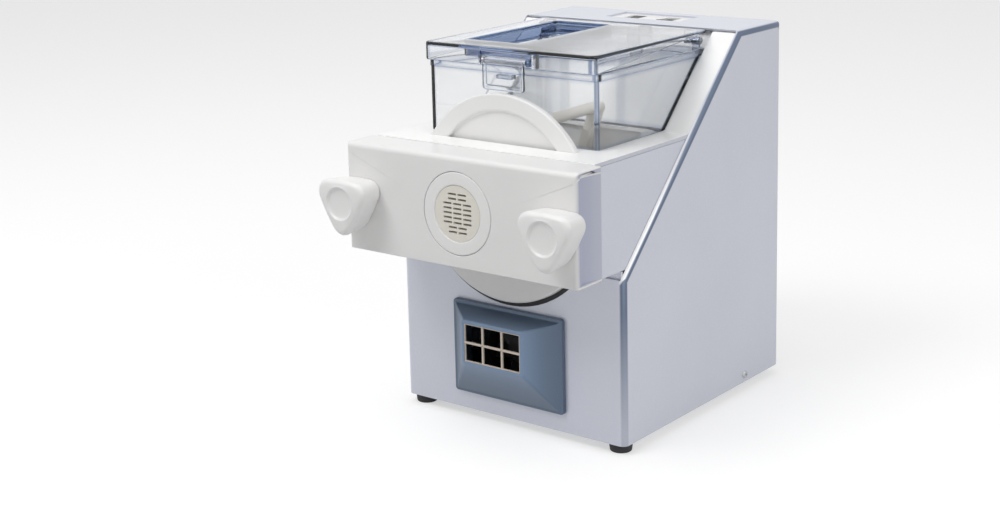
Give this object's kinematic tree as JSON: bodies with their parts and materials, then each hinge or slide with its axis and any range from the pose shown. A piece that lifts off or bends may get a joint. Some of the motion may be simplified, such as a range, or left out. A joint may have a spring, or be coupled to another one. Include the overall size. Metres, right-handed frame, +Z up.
{
  "type": "electric pasta maker",
  "caption": "Countertop electric pasta maker: silver wedge casing, white clamped front cover with a round die, clear lidded tank over a kneading bowl, and a drying-air outlet.",
  "frame": {"origin": "middle of the footprint of the whole machine, on the surface it stands on", "axes": "+Z up, +X to the right seen from the front, +Y to the rear; the extruding axis is along Y"},
  "size_m": [0.2566, 0.345, 0.324],
  "materials": {
    "silver_paint": "fine metallic paint, satin",
    "hood_paint": "blue-grey metallic paint on plastic, satin",
    "white_plastic": "moulded warm white, soft gloss",
    "food_plastic": "moulded off-white, matt",
    "clear_plastic": "clear moulded plastic with a faint blue tint",
    "black_rubber": "matt",
    "black_plastic": "fine grain",
    "red_plastic": "smooth",
    "screw_steel": "zinc plated",
    "bright_steel": "ground",
    "plated_sheet": "zinc-plated sheet",
    "cast_alloy": "as cast",
    "sintered_bronze": "oil-filled",
    "gear_plastic": "natural nylon",
    "motor_iron": "varnished laminations",
    "copper_wire": "enamelled wire"
  },
  "bodies": {
    "machine": {"outer_casing": "silver_paint", "base_plate": "plated_sheet", "rear_panel": "silver_paint", "feet": "black_rubber", "foot_screws": "screw_steel", "casing_screws": "screw_steel", "cheek_left": "silver_paint", "cheek_right": "silver_paint", "shelf_moulding": "white_plastic", "bowl": "white_plastic", "bowl_seal": "black_rubber", "head_disc": "white_plastic", "barrel": "white_plastic", "tank": "clear_plastic", "lid_pin": "bright_steel", "studs": "screw_steel", "stud_arms": "plated_sheet", "cover_switch": "black_plastic", "bulkhead": "plated_sheet", "gearbox_case": "cast_alloy", "gearbox_cover": "cast_alloy", "gearbox_screws": "screw_steel", "bushes": "sintered_bronze", "shaft_seal": "black_rubber", "drive_belt": "black_rubber", "motor_stator": "motor_iron", "motor_windings": "copper_wire", "motor_bell_front": "cast_alloy", "motor_bell_rear": "cast_alloy", "motor_bolts": "screw_steel", "motor_bracket": "plated_sheet", "rubber_mounts": "black_rubber", "capacitor": "cast_alloy", "fan_frame": "black_plastic", "outlet_hood": "hood_paint", "control_plate": "white_plastic", "switch_bodies": "black_plastic", "power_inlet": "black_plastic"},
    "cover": {"front_cover": "white_plastic", "die_ring": "white_plastic", "die": "food_plastic"},
    "knob_left_body": {"knob_left": "white_plastic"},
    "knob_right_body": {"knob_right": "white_plastic"},
    "lid_body": {"lid": "clear_plastic", "latch_pin": "bright_steel"},
    "latch_body": {"lid_latch": "clear_plastic"},
    "plunger_body": {"switch_plunger": "red_plastic"},
    "output_body": {"drive_shaft": "bright_steel", "auger": "food_plastic", "kneading_paddle": "food_plastic", "output_gear": "gear_plastic"},
    "intermediate_body": {"intermediate_gear": "bright_steel"},
    "input_body": {"input_shaft": "bright_steel", "large_pulley": "cast_alloy"},
    "rotor_body": {"motor_rotor": "motor_iron", "motor_pulley": "cast_alloy", "motor_fan": "black_plastic"},
    "fan_body": {"fan_impeller": "black_plastic"},
    "rocker_mix_body": {"rocker_mix": "black_plastic"},
    "rocker_fan_body": {"rocker_fan": "black_plastic"}
  },
  "joints": [
    {"name": "cover_slide", "type": "slide", "parent": "machine", "child": "cover", "axis": [0, -1, 0], "range_m": [0, 0.06]},
    {"name": "knob_left_spin", "type": "hinge", "parent": "cover", "child": "knob_left_body", "pos_m": [-0.1032, -0.1455, 0.2], "axis": [0, 1, 0], "continuous": true},
    {"name": "knob_right_spin", "type": "hinge", "parent": "cover", "child": "knob_right_body", "pos_m": [0.1032, -0.1455, 0.2], "axis": [0, 1, 0], "continuous": true},
    {"name": "lid_hinge", "type": "hinge", "parent": "machine", "child": "lid_body", "pos_m": [0, 0.08695, 0.315], "axis": [-1, 0, 0], "range_deg": [0, 90]},
    {"name": "latch_hinge", "type": "hinge", "parent": "lid_body", "child": "latch_body", "pos_m": [0, -0.0765, 0.3135], "axis": [-1, 0, 0], "range_deg": [0, 40]},
    {"name": "plunger_slide", "type": "slide", "parent": "machine", "child": "plunger_body", "axis": [0, 1, 0], "range_m": [0, 0.0025], "stiffness_N_per_m": 300},
    {"name": "output_spin", "type": "hinge", "parent": "machine", "child": "output_body", "pos_m": [0, 0, 0.2], "axis": [0, 1, 0], "continuous": true},
    {"name": "intermediate_spin", "type": "hinge", "parent": "machine", "child": "intermediate_body", "pos_m": [-0.042, 0, 0.14652], "axis": [0, 1, 0], "continuous": true},
    {"name": "input_spin", "type": "hinge", "parent": "machine", "child": "input_body", "pos_m": [0, 0, 0.12328], "axis": [0, 1, 0], "continuous": true},
    {"name": "rotor_spin", "type": "hinge", "parent": "machine", "child": "rotor_body", "pos_m": [0, 0, 0.06], "axis": [0, 1, 0], "continuous": true},
    {"name": "fan_spin", "type": "hinge", "parent": "machine", "child": "fan_body", "pos_m": [0, 0, 0.065], "axis": [0, 1, 0], "continuous": true},
    {"name": "rocker_mix_tilt", "type": "hinge", "parent": "machine", "child": "rocker_mix_body", "pos_m": [-0.0195, 0.1435, 0.3177], "axis": [1, 0, 0], "range_deg": [-7, 7]},
    {"name": "rocker_fan_tilt", "type": "hinge", "parent": "machine", "child": "rocker_fan_body", "pos_m": [0.0165, 0.1435, 0.3177], "axis": [1, 0, 0], "range_deg": [0, 14]}
  ],
  "couplings": [
    {"joint": "intermediate_spin", "follows": "output_spin", "ratio": -3.25},
    {"joint": "input_spin", "follows": "output_spin", "ratio": 9.75},
    {"joint": "rotor_spin", "follows": "output_spin", "ratio": 34.125}
  ]
}
